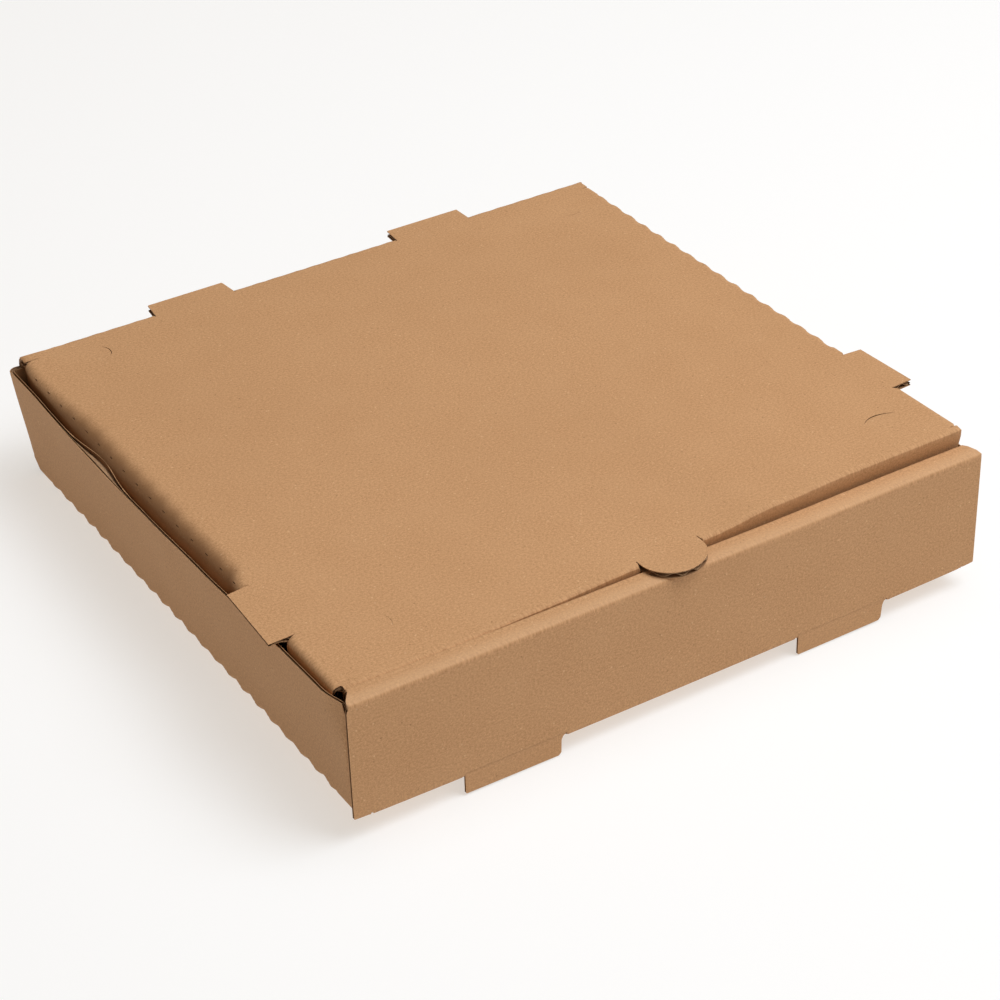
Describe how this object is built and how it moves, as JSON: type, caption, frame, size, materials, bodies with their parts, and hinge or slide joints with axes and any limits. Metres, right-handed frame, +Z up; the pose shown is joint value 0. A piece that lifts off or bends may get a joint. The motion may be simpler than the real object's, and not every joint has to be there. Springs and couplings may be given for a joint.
{
  "type": "pizza box",
  "caption": "Square corrugated kraft pizza box with a tuck-in hinged lid, rolled front wall, locking feet and a half-round thumb grip.",
  "frame": {"origin": "centre of the base's underside, midway between the front and back faces; the two feet reach below it", "axes": "+Z up out of the closed lid, +Y from the front wall to the hinge, +X to the right as the front is faced"},
  "size_m": [0.3296, 0.3252, 0.0698],
  "materials": {
    "kraft_board": "matte uncoated kraft paper"
  },
  "bodies": {
    "tray_body": {"tray": "kraft_board"},
    "lid_body": {"lid": "kraft_board"}
  },
  "joints": [
    {"name": "lid_hinge", "type": "hinge", "parent": "tray_body", "child": "lid_body", "pos_m": [0, 0.15675, 0.0615], "axis": [-1, 0, 0], "range_deg": [0, 180]}
  ]
}
